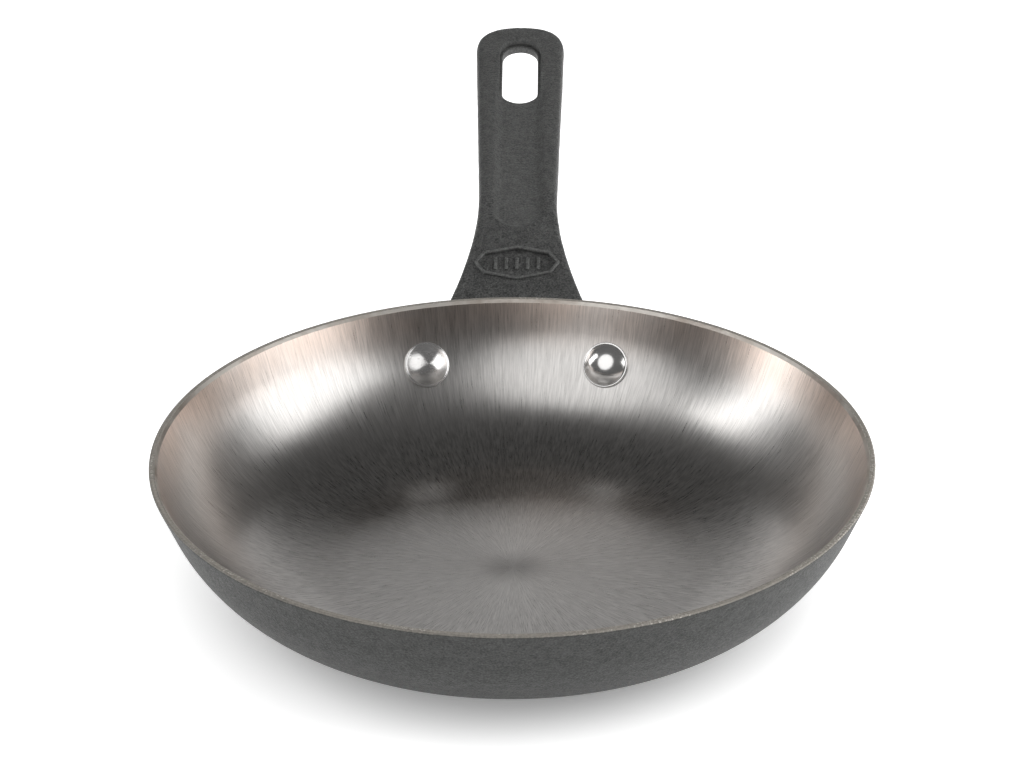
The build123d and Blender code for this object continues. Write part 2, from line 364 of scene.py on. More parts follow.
@dataclass
class Graph:
    """A node tree with short ways to add and join nodes.

    Args:
        tree: the node tree of a material or a group.
    """

    tree: bpy.types.NodeTree

    @property
    def material(self) -> bpy.types.Material:
        """The material that this tree belongs to."""
        return next(m for m in bpy.data.materials if m.node_tree == self.tree)

    def feed(self, node: bpy.types.Node, inputs: dict) -> None:
        """Links outputs to a node's sockets, or sets the sockets' own values.

        Args:
            node: the node that is fed.
            inputs: socket name or index to a value or to an output socket to link.
        """
        for key, value in inputs.items():
            if isinstance(value, bpy.types.NodeSocket):
                self.tree.links.new(value, node.inputs[key])
            else:
                node.inputs[key].default_value = value

    def node(self, kind: str, inputs: dict, **settings: object) -> bpy.types.Node:
        """Adds a node.

        Args:
            kind: the node's type, such as ShaderNodeMath.
            inputs: socket name or index to a value or to an output socket to link.
            settings: attributes of the node itself.

        Returns:
            The new node.
        """
        made = self.tree.nodes.new(kind)
        for key, value in settings.items():
            setattr(made, key, value)
        self.feed(made, inputs)
        return made

    def group(self, tree: bpy.types.NodeTree, inputs: dict) -> bpy.types.Node:
        """Places a shader group and feeds its sockets by name."""
        return self.node("ShaderNodeGroup", inputs, node_tree=tree)

    def axes(self, place: object) -> list[bpy.types.NodeSocket]:
        """The three coordinates of a place."""
        return list(self.node("ShaderNodeSeparateXYZ", {0: place}).outputs)

    def math(self, operation: str, first: object, second: object = 0.0) -> bpy.types.NodeSocket:
        """Adds a math node and returns its output."""
        return self.node("ShaderNodeMath", {0: first, 1: second}, operation=operation).outputs[0]

    def times(self, *values: object) -> bpy.types.NodeSocket:
        """The product of two or more values."""
        return reduce(partial(self.math, "MULTIPLY"), values)

    def plus(self, *values: object) -> bpy.types.NodeSocket:
        """The sum of two or more values."""
        return reduce(partial(self.math, "ADD"), values)

    def scaled(self, vector: object, factor: object) -> bpy.types.NodeSocket:
        """Multiplies a vector or a colour by a factor."""
        sockets = {0: vector, "Scale": factor}
        return self.node("ShaderNodeVectorMath", sockets, operation="SCALE").outputs[0]

    def span(
        self, value: object, low: float, high: float, start: float = 0.0, end: float = 1.0
    ) -> bpy.types.NodeSocket:
        """Maps a value smoothly from one range to another, within limits.

        Args:
            value: the value to map.
            low: lower end of its range.
            high: upper end of its range.
            start: result at the lower end.
            end: result at the upper end.

        Returns:
            The mapped value's output.
        """
        sockets = {"Value": value, "From Min": low, "From Max": high, "To Min": start, "To Max": end}
        return self.node("ShaderNodeMapRange", sockets, interpolation_type="SMOOTHSTEP").outputs[0]

    def noise(
        self, place: object, scale: float = 1.0, detail: float = 3.0, rough: float = 0.5
    ) -> bpy.types.NodeSocket:
        """Adds a noise texture and returns its value."""
        sockets = {"Vector": place, "Scale": scale, "Detail": detail, "Roughness": rough}
        return self.node("ShaderNodeTexNoise", sockets).outputs["Fac"]

    def mix(self, share: object, first: object, second: object) -> bpy.types.NodeSocket:
        """Mixes two numbers by a share."""
        return self.node("ShaderNodeMix", {0: share, 2: first, 3: second}).outputs[0]

    def blend(self, share: object, first: object, second: object) -> bpy.types.NodeSocket:
        """Mixes two colours by a share."""
        sockets = {0: share, 6: first, 7: second}
        return self.node("ShaderNodeMix", sockets, data_type="RGBA", blend_type="MIX").outputs[2]

    def bump(self, height: object, distance: float, strength: float) -> bpy.types.NodeSocket:
        """The normal of a surface with a fine relief."""
        sockets = {"Height": height, "Distance": distance, "Strength": strength}
        return self.node("ShaderNodeBump", sockets).outputs[0]

    def around(self) -> bpy.types.NodeSocket:
        """The direction round the piece's own Z axis."""
        return self.node("ShaderNodeTangent", {}, direction_type="RADIAL", axis="Z").outputs[0]


def new_group(name: str, inputs: dict, outputs: dict) -> tuple[Graph, dict, bpy.types.Node]:
    """Starts a shader node group with named sockets.

    Args:
        name: the group's name.
        inputs: input name to (socket type, default value).
        outputs: output name to socket type.

    Returns:
        The group's graph, its inputs by name as outputs inside the group, and the node that
        takes its results.
    """
    tree = bpy.data.node_groups.new(name, "ShaderNodeTree")
    for key, (kind, value) in inputs.items():
        socket = tree.interface.new_socket(key, in_out="INPUT", socket_type=kind)
        if value is not None:
            socket.default_value = value
    for key, kind in outputs.items():
        tree.interface.new_socket(key, in_out="OUTPUT", socket_type=kind)
    start = tree.nodes.new("NodeGroupInput")
    given = {key: start.outputs[key] for key in inputs}
    return Graph(tree), given, tree.nodes.new("NodeGroupOutput")


FLOAT, VECTOR = "NodeSocketFloat", "NodeSocketVector"
PLACE = {"Place": (VECTOR, None)}


def turned_place_group() -> bpy.types.NodeTree:
    """Coordinates of a turned piece about its Z axis, stretched for scratches.

    Returns:
        A group that takes a place and gives the radius, the place stretched along the outline
        and the place stretched round the axis.
    """
    inputs = PLACE | {"Fineness": (FLOAT, 200.0), "Length": (FLOAT, 40.0), "Twist": (FLOAT, 0.0)}
    outputs = {"Radius": FLOAT, "Stretched Along": VECTOR, "Stretched Round": VECTOR}
    graph, given, result = new_group("Turned Place", inputs, outputs)
    x, y, z = graph.axes(given["Place"])
    radius = graph.math("SQRT", graph.plus(graph.times(x, x), graph.times(y, y)))
    along = graph.plus(radius, z)
    angle = graph.plus(graph.math("ARCTAN2", y, x), graph.times(radius, given["Twist"]))
    cosine, sine = graph.math("COSINE", angle), graph.math("SINE", angle)
    factors = {
        "Stretched Along": (given["Fineness"], given["Length"]),
        "Stretched Round": (2.0, given["Fineness"]),
    }
    for name, (across, lengthwise) in factors.items():
        parts = (cosine, across), (sine, across), (along, lengthwise)
        parts = {i: graph.times(*pair) for i, pair in enumerate(parts)}
        graph.feed(result, {name: graph.node("ShaderNodeCombineXYZ", parts).outputs[0]})
    graph.feed(result, {"Radius": radius})
    return graph.tree


def cast_grain_group() -> bpy.types.NodeTree:
    """The pebbled skin of sand-cast iron.

    Returns:
        A group that takes a place and a grain size and gives a height and a mottled mask.
    """
    inputs = PLACE | {"Grains per Metre": (FLOAT, 1500.0)}
    graph, given, result = new_group("Cast Grain", inputs, {"Height": FLOAT, "Mottle": FLOAT})
    place = graph.scaled(given["Place"], given["Grains per Metre"])
    pebbles = graph.node("ShaderNodeTexVoronoi", {"Vector": place, "Scale": 1.0}, feature="SMOOTH_F1")
    rounded = graph.math("SUBTRACT", 1.0, pebbles.outputs["Distance"])
    fine, coarse = graph.noise(place, 1.3, 3.0, 0.6), graph.noise(place, 0.3, 2.0, 0.5)
    height = graph.plus(graph.times(rounded, 0.5), fine, graph.times(coarse, 0.6))
    mottle = graph.plus(graph.times(fine, 0.75), graph.times(coarse, 0.25))
    graph.feed(result, {"Height": height, "Mottle": graph.span(mottle, 0.3, 0.7)})
    return graph.tree


def worn_edge_group(turned: bpy.types.NodeTree) -> bpy.types.NodeTree:
    """Wear on a coated edge: coating rubbed thin, and specks of bare metal.

    Args:
        turned: the group of turned coordinates.

    Returns:
        A group that takes a place, how exposed it is and how worn the piece is, and gives
        masks of rubbed coating and of bare specks.
    """
    inputs = PLACE | {"Exposed": (FLOAT, 0.0), "Wear": (FLOAT, 0.5)}
    graph, given, result = new_group("Worn Edge", inputs, {"Rubbed": FLOAT, "Bare": FLOAT})
    place, exposed = given["Place"], given["Exposed"]
    lines = graph.group(turned, {"Place": place, "Fineness": 2200.0}).outputs["Stretched Round"]
    specks = graph.noise(place, 1300.0, 4.0, 0.65)
    scored = graph.plus(graph.times(specks, 0.6), graph.times(graph.noise(lines), 0.4))
    patches = graph.noise(place, 40.0, 3.0, 0.6)
    uneven = graph.times(graph.span(patches, 0.35, 0.6, 0.35), given["Wear"])
    level = graph.times(exposed, uneven, 0.3)
    over = graph.math("SUBTRACT", graph.plus(scored, level), 0.75)
    rubbed = graph.span(graph.plus(scored, exposed), 1.05, 1.7)
    graph.feed(result, {"Rubbed": rubbed, "Bare": graph.span(over, 0.0, 0.1)})
    return graph.tree


@dataclass
class ShaderGroups:
    """The groups that the finishes share, built once.

    Args:
        turned_place: coordinates of turned pieces.
        cast_grain: the skin of cast iron.
        worn_edge: wear on coated edges.
    """

    turned_place: bpy.types.NodeTree = field(default_factory=turned_place_group)
    cast_grain: bpy.types.NodeTree = field(default_factory=cast_grain_group)
    worn_edge: bpy.types.NodeTree = field(init=False)

    def __post_init__(self) -> None:
        """Builds the group that uses another one."""
        self.worn_edge = worn_edge_group(self.turned_place)


def start_material(name: str) -> tuple[Graph, bpy.types.Node, bpy.types.NodeSocket]:
    """Starts a material with a Principled shader.

    Args:
        name: the material's name.

    Returns:
        Its graph, its Principled node and its object coordinates.
    """
    material = bpy.data.materials.new(name)
    material.use_nodes = True
    graph = Graph(material.node_tree)
    shader = next(n for n in material.node_tree.nodes if n.type == "BSDF_PRINCIPLED")
    place = graph.node("ShaderNodeTexCoord", {}).outputs["Object"]
    return graph, shader, place


# --- Finishes ---


@dataclass(frozen=True)
class MachinedIron:
    """Bare iron, turned and then brushed from the middle outwards, warm near the rim.

    Args:
        name: the material's name.
        iron: colour of the metal.
        tint: the warmer colour towards the rim.
        tint_low: height where the tint starts.
        tint_high: height where it is full.
        roughness: how soft its reflections are.
        scratch_depth: height of the brushing scratches.
        painted_centre_shade: shade of the darker middle of the floor, a painted shade for the dark
            reflection where the brushing lines meet.
        painted_centre_shade_radius: how far that painted shade reaches.
    """

    name: str = "machined_iron"
    iron: tuple = (0.56, 0.545, 0.53, 1)
    tint: tuple = (0.60, 0.50, 0.44, 1)
    tint_low: float = 24 * MM
    tint_high: float = 41 * MM
    roughness: float = 0.30
    scratch_depth: float = 0.05 * MM
    painted_centre_shade: float = 0.68
    painted_centre_shade_radius: float = 13 * MM

    def material(self, groups: ShaderGroups) -> bpy.types.Material:
        """Builds the material.

        Args:
            groups: the shared shader groups.

        Returns:
            The material.
        """
        graph, shader, place = start_material(self.name)
        height = graph.axes(place)[2]
        on_wall = graph.span(height, 5 * MM, 16 * MM)
        turned = partial(graph.group, groups.turned_place)
        strokes = turned({"Place": place, "Fineness": 125.0, "Length": 230.0})
        scratches = turned({"Place": place, "Fineness": 230.0, "Length": 85.0})
        streaks = turned({"Place": place, "Fineness": 24.0, "Length": 30.0, "Twist": 6.0})
        short = graph.noise(strokes.outputs["Stretched Along"], rough=0.6)
        tall = graph.noise(scratches.outputs["Stretched Along"], detail=4.0, rough=0.7)
        streaky = graph.noise(streaks.outputs["Stretched Along"], rough=0.55)
        brushed = graph.mix(on_wall, short, tall)
        cloud = graph.noise(place, 30.0, 3.0, 0.55)
        warmth = graph.span(height, self.tint_low, self.tint_high)
        warmth = graph.times(warmth, graph.span(cloud, 0.25, 0.65, 0.5, 1.0))
        on_floor = graph.span(short, 0.3, 0.7, 0.74, 1.17)
        on_side = graph.span(tall, 0.3, 0.7, 0.80, 1.16)
        streak = graph.span(streaky, 0.25, 0.75, 0.97, 1.03)
        # Painted shade: the middle of the floor is darkened for the dark reflection where the brushing
        # lines meet.
        painted_centre_shade = graph.span(strokes.outputs["Radius"], 1 * MM, self.painted_centre_shade_radius, self.painted_centre_shade, 1.0)
        shade = graph.times(graph.mix(on_wall, on_floor, on_side), streak, painted_centre_shade)
        rough = graph.plus(self.roughness - 0.07, graph.times(brushed, 0.10), graph.times(streaky, 0.02))
        looks = {
            "Base Color": graph.scaled(graph.blend(warmth, self.iron, self.tint), shade),
            "Roughness": rough,
            "Normal": graph.bump(brushed, self.scratch_depth, 0.22),
            "Metallic": 1.0,
            "Anisotropic": 0.3,
            "Tangent": graph.around(),
        }
        graph.feed(shader, looks)
        return graph.material


@dataclass(frozen=True)
class BareEdge:
    """The cut bevel of the rim: bare iron, duller than the brushed inside and paler, partly as a painted
    highlight along the edge.

    Args:
        name: the material's name.
        bright: colour of the clean metal, partly a painted highlight along the edge.
        stained: colour of its stains.
    """

    name: str = "bare_edge"
    bright: tuple = (0.74, 0.70, 0.65, 1)
    stained: tuple = (0.48, 0.42, 0.37, 1)

    def material(self, groups: ShaderGroups) -> bpy.types.Material:
        """Builds the material.

        Args:
            groups: the shared shader groups.

        Returns:
            The material.
        """
        graph, shader, place = start_material(self.name)
        turned = graph.group(groups.turned_place, {"Place": place, "Fineness": 60.0, "Length": 900.0})
        stain = graph.noise(place, 60.0, 4.0, 0.6)
        nicks = graph.noise(turned.outputs["Stretched Along"], rough=0.6)
        # The clean colour is partly a painted highlight along the bevel.
        looks = {
            "Base Color": graph.blend(graph.span(stain, 0.42, 0.7), self.bright, self.stained),
            "Roughness": graph.span(nicks, 0.2, 0.8, 0.42, 0.60),
            "Normal": graph.bump(nicks, 0.04 * MM, 0.5),
            "Metallic": 1.0,
        }
        graph.feed(shader, looks)
        return graph.material


@dataclass(frozen=True)
class GrainZones:
    """Where the handle's grain is coarse: towards the pan, but not in the thumb scoop; the coarse part
    is painted darker as painted shade, and the scoop lighter as painted light.

    Args:
        coarse_below: length along the handle below which the grain is coarse.
        coarse_fade: how far it fades on either side of there.
        hollows: darkness of the coarse grain's hollows, as a share of the plain ones.
        crests: brightness of its high spots, as a share of the plain ones.
        painted_flare_shade: brightness of the coarse grain as a whole, darker as a painted shade for the
            flare's steeper slope.
        scoop_near: near end of the line down the scoop's middle.
        scoop_far: far end of that line.
        scoop_half_width: half the scoop's width.
        painted_scoop_light: brightness inside the scoop, lighter as a painted light.
    """

    coarse_below: float = 156 * MM
    coarse_fade: float = 9 * MM
    hollows: float = 0.3
    crests: float = 1.75
    painted_flare_shade: float = 0.63
    scoop_near: float = 146.5 * MM
    scoop_far: float = 217 * MM
    scoop_half_width: float = 8.8 * MM
    painted_scoop_light: float = 1.22

    def masks(self, graph: Graph, axes: list) -> tuple[bpy.types.NodeSocket, bpy.types.NodeSocket]:
        """Adds the two masks to a material.

        Args:
            graph: the material's graph.
            axes: the outputs of the place along each axis.

        Returns:
            The mask of the scoop, which gets painted light, and the mask of the coarse grain, which also
            gets painted shade.
        """
        across, along = axes[:2]
        held = graph.math("MAXIMUM", graph.math("MINIMUM", along, self.scoop_far), self.scoop_near)
        past = graph.math("SUBTRACT", along, held)
        reach = graph.math("SQRT", graph.plus(graph.times(past, past), graph.times(across, across)))
        scoop = graph.span(reach, self.scoop_half_width, 0.82 * self.scoop_half_width)
        fade = self.coarse_fade
        near_root = graph.span(along, self.coarse_below + fade, self.coarse_below - fade)
        return scoop, graph.times(near_root, graph.math("SUBTRACT", 1.0, scoop))


@dataclass(frozen=True)
class CoatedIron:
    """Cast iron under a thin matt dark coating that lets the sand grain show.

    Args:
        name: the material's name.
        dark: colour in the hollows of the grain.
        light: colour on its high spots.
        grains: grains per metre.
        depth: height of the grain.
        roughness: how matt it is.
        shine: how strongly it reflects; 0.5 is plain paint.
        worn_above: height above which an edge is rubbed, or None for no worn edge.
        rubbed: colour of the rubbed coating.
        bare: colour of the bare specks.
        zones: where the grain is coarser and where painted shade and painted light go, or None for even
            grain.
    """

    name: str
    # The default colours are the pan outside's darker copy of the coating: painted shade for the less
    # light reaching it.
    dark: tuple = (0.021, 0.022, 0.021, 1)
    light: tuple = (0.064, 0.065, 0.063, 1)
    grains: float = 1400.0
    depth: float = 0.10 * MM
    roughness: float = 0.48
    shine: float = 0.5
    worn_above: float | None = None
    rubbed: tuple = (0.31, 0.287, 0.255, 1)
    bare: tuple = (0.72, 0.69, 0.64, 1)
    zones: GrainZones | None = None

    def material(self, groups: ShaderGroups) -> bpy.types.Material:
        """Builds the material.

        Args:
            groups: the shared shader groups.

        Returns:
            The material.
        """
        graph, shader, place = start_material(self.name)
        axes = graph.axes(place)
        grain = graph.group(groups.cast_grain, {"Place": place, "Grains per Metre": self.grains})
        mottle, relief = grain.outputs["Mottle"], grain.outputs["Height"]
        colour = graph.blend(mottle, self.dark, self.light)
        rough = graph.span(mottle, 0.0, 1.0, self.roughness + 0.06, self.roughness - 0.04)
        if self.zones is not None:
            zones = self.zones
            scoop, coarse = zones.masks(graph, axes)
            relief = graph.times(relief, graph.plus(1.0, coarse))
            dark = tuple(c * zones.hollows for c in self.dark)
            light = tuple(c * zones.crests for c in self.light)
            # Painted shade: the coarse grain towards the pan is darkened for the flare's steeper slope.
            coarse_colour = graph.scaled(graph.blend(mottle, dark, light), zones.painted_flare_shade)
            colour = graph.blend(coarse, colour, coarse_colour)
            # Painted light: the scoop is lightened.
            colour = graph.scaled(colour, graph.span(scoop, 0.0, 1.0, 1.0, zones.painted_scoop_light))
        if self.worn_above is not None:
            exposed = graph.span(axes[2], self.worn_above, self.worn_above + 0.7 * MM)
            worn = graph.group(groups.worn_edge, {"Place": place, "Exposed": exposed, "Wear": 0.8})
            specks = worn.outputs["Bare"]
            colour = graph.blend(worn.outputs["Rubbed"], colour, self.rubbed)
            colour = graph.blend(specks, colour, self.bare)
            rough = graph.mix(specks, rough, 0.35)
            graph.feed(shader, {"Metallic": specks})
        looks = {
            "Base Color": colour,
            "Roughness": rough,
            "Normal": graph.bump(relief, self.depth, 0.9),
            "Specular IOR Level": self.shine,
        }
        graph.feed(shader, looks)
        return graph.material


@dataclass(frozen=True)
class PolishedSteel:
    """Bright rivet steel with fine turning marks about the rivet's own axis.

    Args:
        name: the material's name.
        roughness: how soft its reflections are.
        turning: how strongly the turning marks spread its highlights.
        pits: how many small dents it has, from 0 to 1.
        metal: colour of the metal.
        dent_shade: colour in the dents, darker as a painted shade.
    """

    name: str
    roughness: float = 0.12
    turning: float = 0.0
    pits: float = 0.0
    metal: tuple = (0.80, 0.79, 0.78, 1)
    dent_shade: tuple = (0.35, 0.33, 0.31, 1)

    def material(self, groups: ShaderGroups) -> bpy.types.Material:
        """Builds the material.

        Args:
            groups: the shared shader groups.

        Returns:
            The material.
        """
        graph, shader, place = start_material(self.name)
        turned = graph.group(groups.turned_place, {"Place": place, "Fineness": 9000.0}).outputs
        rings = graph.noise(turned["Stretched Round"], detail=2.0)
        scuffs = graph.noise(place, 700.0, 4.0, 0.6)
        dents = graph.span(graph.noise(place, 1400.0, 2.0), 0.62, 0.74)
        middle = graph.span(turned["Radius"], 4.5 * MM, 2.0 * MM)
        dents = graph.times(dents, middle, self.pits)
        marks = graph.math("SUBTRACT", graph.times(rings, self.turning), dents)
        rough = graph.plus(self.roughness - 0.03, graph.times(scuffs, 0.08), graph.times(dents, 0.3))
        # Painted shade: the dents are coloured dark.
        looks = {
            "Base Color": graph.blend(dents, self.metal, self.dent_shade),
            "Roughness": rough,
            "Normal": graph.bump(marks, 0.02 * MM, 0.5),
            "Metallic": 0.88,
            "Anisotropic": 0.8 * self.turning,
            "Anisotropic Rotation": 0.25,
            "Tangent": graph.around(),
        }
        graph.feed(shader, looks)
        return graph.material


# --- The pan ---


@dataclass(frozen=True)
class PanSection:
    """Sizes of the pan's turned section; radius and height come from the frame.

    Args:
        rim_radius: radius at the outside of the rim.
        rim_height: height of the rim over the base.
        wall_slope: slope of the straight wall, in radians.
        outer_bowl: radius of the outside bowl curve.
        inner_bowl: radius of the inside bowl curve.
        floor: thickness of the floor.
        lip_round: radius that rounds the lip.
        lip_drop: how far the wall line is straight below the rim.
        bevel_outer: radius where the bare bevel starts.
        bevel_inner: radius where it meets the inside wall.
        bevel_depth: how far the bevel drops.
    """

    rim_radius: float
    rim_height: float
    wall_slope: float = math.radians(67.0)
    outer_bowl: float = 50.6 * MM
    inner_bowl: float = 48.5 * MM
    floor: float = 3.5 * MM
    lip_round: float = 0.57 * MM
    lip_drop: float = 0.8 * MM
    bevel_outer: float = 102.7 * MM
    bevel_inner: float = 101.9 * MM
    bevel_depth: float = 0.9 * MM

    @classmethod
    def from_frame(cls) -> "PanSection":
        """Reads the rim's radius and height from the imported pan.

        Returns:
            The section.
        """
        _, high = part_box("pan_body")
        return cls(rim_radius=round(high.x, 4), rim_height=round(high.z, 4))

    def wall_radius(self, height: float) -> float:
        """Radius of the straight outside wall line at a height."""
        return self.rim_radius - (self.rim_height - self.lip_drop - height) / math.tan(self.wall_slope)

    def outer_centre(self) -> tuple[float, float]:
        """Radius and height of the centre of the outside bowl curve."""
        return self.wall_radius(0) - self.outer_bowl * math.tan(self.wall_slope / 2), self.outer_bowl

    def floor_corner(self) -> float:
        """Radius where the straight inside wall line would meet the floor."""
        rise = self.rim_height - self.bevel_depth - self.floor
        return self.bevel_inner - rise / math.tan(self.wall_slope)

    def inner_centre(self) -> tuple[float, float]:
        """Radius and height of the centre of the inside bowl curve."""
        radius = self.floor_corner() - self.inner_bowl * math.tan(self.wall_slope / 2)
        return radius, self.floor + self.inner_bowl

    def outer_corners(self, lip_round: float = 0.0) -> list[Corner]:
        """Corners of the outside, from the axis underneath to the rim.

        Args:
            lip_round: radius that rounds the lip, or 0 for a sharp one.

        Returns:
            The three corners.
        """
        rim = Corner(self.wall_radius(self.rim_height), self.rim_height, lip_round)
        return [Corner(0, 0), Corner(self.wall_radius(0), 0, self.outer_bowl), rim]

    def outside_at(self, height: np.ndarray, offset: float = 0.0) -> tuple[np.ndarray, np.ndarray]:
        """The outside wall at given heights of its own surface, moved square to itself.

        Args:
            height: heights of the wall's points.
            offset: how far to move them outwards.

        Returns:
            Radius and height of the moved points.
        """
        centre_radius, centre_height = self.outer_centre()
        tangent_height = centre_height - self.outer_bowl * math.cos(self.wall_slope)
        dip = np.arcsin(np.clip((centre_height - height) / self.outer_bowl, -1, 1))
        dip = np.where(height > tangent_height, math.pi / 2 - self.wall_slope, dip)
        on_arc = centre_radius + self.outer_bowl * np.cos(dip)
        radius = np.where(height > tangent_height, self.wall_radius(height), on_arc)
        return radius + offset * np.cos(dip), height - offset * np.sin(dip)


@dataclass
class Pan:
    """The pan casting: coated outside, bare bevel and machined inside.

    Args:
        section: its turned section.
        groups: the shared shader groups.
        segments: number of steps round the axis.
        arc_step: largest turn between two points of the section.
        run_step: longest straight piece of the section.
        worn_band: how far below the rim the coating is rubbed.
    """

    section: PanSection
    groups: ShaderGroups
    segments: int = 288
    arc_step: float = math.radians(2.5)
    run_step: float = 4 * MM
    worn_band: float = 0.95 * MM

    def corners(self) -> list[Corner]:
        """Corners of the section, from the axis underneath, round the rim, to the axis inside.

        Returns:
            The corners.
        """
        s = self.section
        return [
            *s.outer_corners(s.lip_round),
            Corner(s.bevel_outer, s.rim_height, 0.15 * MM),
            Corner(s.bevel_inner, s.rim_height - s.bevel_depth, 0.2 * MM),
            Corner(s.floor_corner(), s.floor, s.inner_bowl),
            Corner(0, s.floor),
        ]

    def build(self) -> bpy.types.Object:
        """Builds, dresses and places the pan.

        Returns:
            The finished piece.
        """
        outline = rounded_outline(self.corners(), self.arc_step, self.run_step)
        pan = spun_mesh("pan", outline.points, self.segments)
        worn_above = self.section.rim_height - self.worn_band
        # Painted shade: the outside keeps the darker default colours, a darker copy of the handle's
        # coating.
        outside = CoatedIron("coated_iron", depth=0.15 * MM, shine=0.2, worn_above=worn_above)
        for finish in (outside, BareEdge(), MachinedIron()):
            pan.data.materials.append(finish.material(self.groups))
        faces_before = np.cumsum([0] + [self.segments] * (len(outline.points) - 1))
        region = np.zeros(len(pan.data.polygons), np.int32)
        bevel_outer, bevel_inner = outline.marks[3:5]
        region[faces_before[bevel_outer] :] = 1
        region[faces_before[bevel_inner] :] = 2
        pan.data.polygons.foreach_set("material_index", region)
        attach(pan, BODY)
        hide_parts("pan_body")
        return pan


# --- The handle ---


@dataclass(frozen=True)
class ArmLine:
    """The arm's top seen from the side: a root line, a bend and a grip line.

    Args:
        tip_y: where the handle ends.
        tip_height: height of the grip line there.
        grip_slope: slope of the grip, in radians.
        root_slope: slope of the root, in radians.
        root_y: a place on the root line.
        root_height: its height.
        bend: radius of the bend.
    """

    tip_y: float
    tip_height: float = 77.4 * MM
    grip_slope: float = math.radians(13.5)
    root_slope: float = math.radians(28.0)
    root_y: float = 106.0 * MM
    root_height: float = 37.0 * MM
    bend: float = 190.0 * MM

    def corner(self) -> tuple[float, float]:
        """Where the two straight lines would meet.

        Returns:
            The place along the handle and the height there.
        """
        grip, root = math.tan(self.grip_slope), math.tan(self.root_slope)
        y = (self.tip_height - grip * self.tip_y - self.root_height + root * self.root_y) / (root - grip)
        return y, self.tip_height - grip * (self.tip_y - y)

    def at(self, y: np.ndarray) -> tuple[np.ndarray, np.ndarray]:
        """Follows the arm's top.

        Args:
            y: places along the handle.

        Returns:
            Height and slope, in radians, of the arm's top there.
        """
        corner_y, corner_height = self.corner()
        reach = self.bend * math.tan((self.root_slope - self.grip_slope) / 2)
        grip_end = corner_y + reach * math.cos(self.grip_slope)
        root_end = corner_y - reach * math.cos(self.root_slope)
        sine, cosine = math.sin(self.grip_slope), math.cos(self.grip_slope)
        centre_y = grip_end + self.bend * sine
        centre_height = corner_height + reach * sine - self.bend * cosine
        bent = np.arcsin(np.clip((centre_y - y) / self.bend, -1, 1))
        slope = np.where(y > grip_end, self.grip_slope, np.where(y < root_end, self.root_slope, bent))
        straight = corner_height + (y - corner_y) * np.tan(slope)
        curved = centre_height + self.bend * np.cos(bent)
        return np.where((y > grip_end) | (y < root_end), straight, curved), slope

    def raised(self, x: np.ndarray, y: np.ndarray, rise: float) -> np.ndarray:
        """Points at a rise over the arm's top, measured square to it."""
        height, slope = self.at(y)
        return np.stack([x, y - rise * np.sin(slope), height + rise * np.cos(slope)], axis=-1)


@dataclass(frozen=True)
class ArmPlan:
    """The arm seen from above: a rounded end, a slight taper and a hollow flare.

    Args:
        tip_y: where the handle ends.
        end_length: length of the rounded end.
        end_power: how square the rounded end is; 2 is an ellipse.
        neck_half_width: half the width where the flare starts.
        neck_y: where that is.
        taper: how fast the grip widens towards the end.
        flare_radius: radius of the flare's hollow sides.
        start_y: where the arm starts, inside the pan's wall.
    """

    tip_y: float
    end_length: float = 13.2 * MM
    end_power: float = 2.45
    neck_half_width: float = 12.75 * MM
    neck_y: float = 157.5 * MM
    taper: float = 0.0284
    flare_radius: float = 119.3 * MM
    start_y: float = 84.0 * MM

    def half_width(self, y: np.ndarray) -> np.ndarray:
        """Half the arm's width.

        Args:
            y: places along the handle.

        Returns:
            Half the width at each place.
        """
        before_neck = np.clip(self.neck_y - y, 0, None)
        flare = self.flare_radius - np.sqrt(self.flare_radius**2 - before_neck**2)
        side = self.neck_half_width + (y - self.neck_y) * self.taper
        into_end = np.clip((y - self.tip_y + self.end_length) / self.end_length, 0, 1)
        return (side + flare) * (1 - into_end**self.end_power) ** (1 / self.end_power)

    def stations(self, spacing: float) -> np.ndarray:
        """Places along the arm, closer together near the tip.

        Args:
            spacing: distance between places along the straight part.

        Returns:
            The places, from the pan outwards.
        """
        shoulder = self.tip_y - self.end_length
        straight = np.arange(self.start_y, shoulder, spacing)
        turn = np.linspace(0, math.pi / 2, 26)[:-1]
        return np.concatenate([straight, shoulder + self.end_length * np.sin(turn)])

    def edge_distance(self, x: np.ndarray, y: np.ndarray) -> np.ndarray:
        """Distance from points inside the outline to its side or its end.

        Args:
            x: places across the handle.
            y: places along it.

        Returns:
            The distances.
        """
        line_y = self.stations(0.5 * MM)
        line_x = self.half_width(line_y)
        line_y, line_x = np.append(line_y, self.tip_y), np.append(line_x, 0.0)
        apart = np.hypot(np.abs(x).ravel()[:, None] - line_x, y.ravel()[:, None] - line_y)
        return apart.min(axis=1).reshape(x.shape)


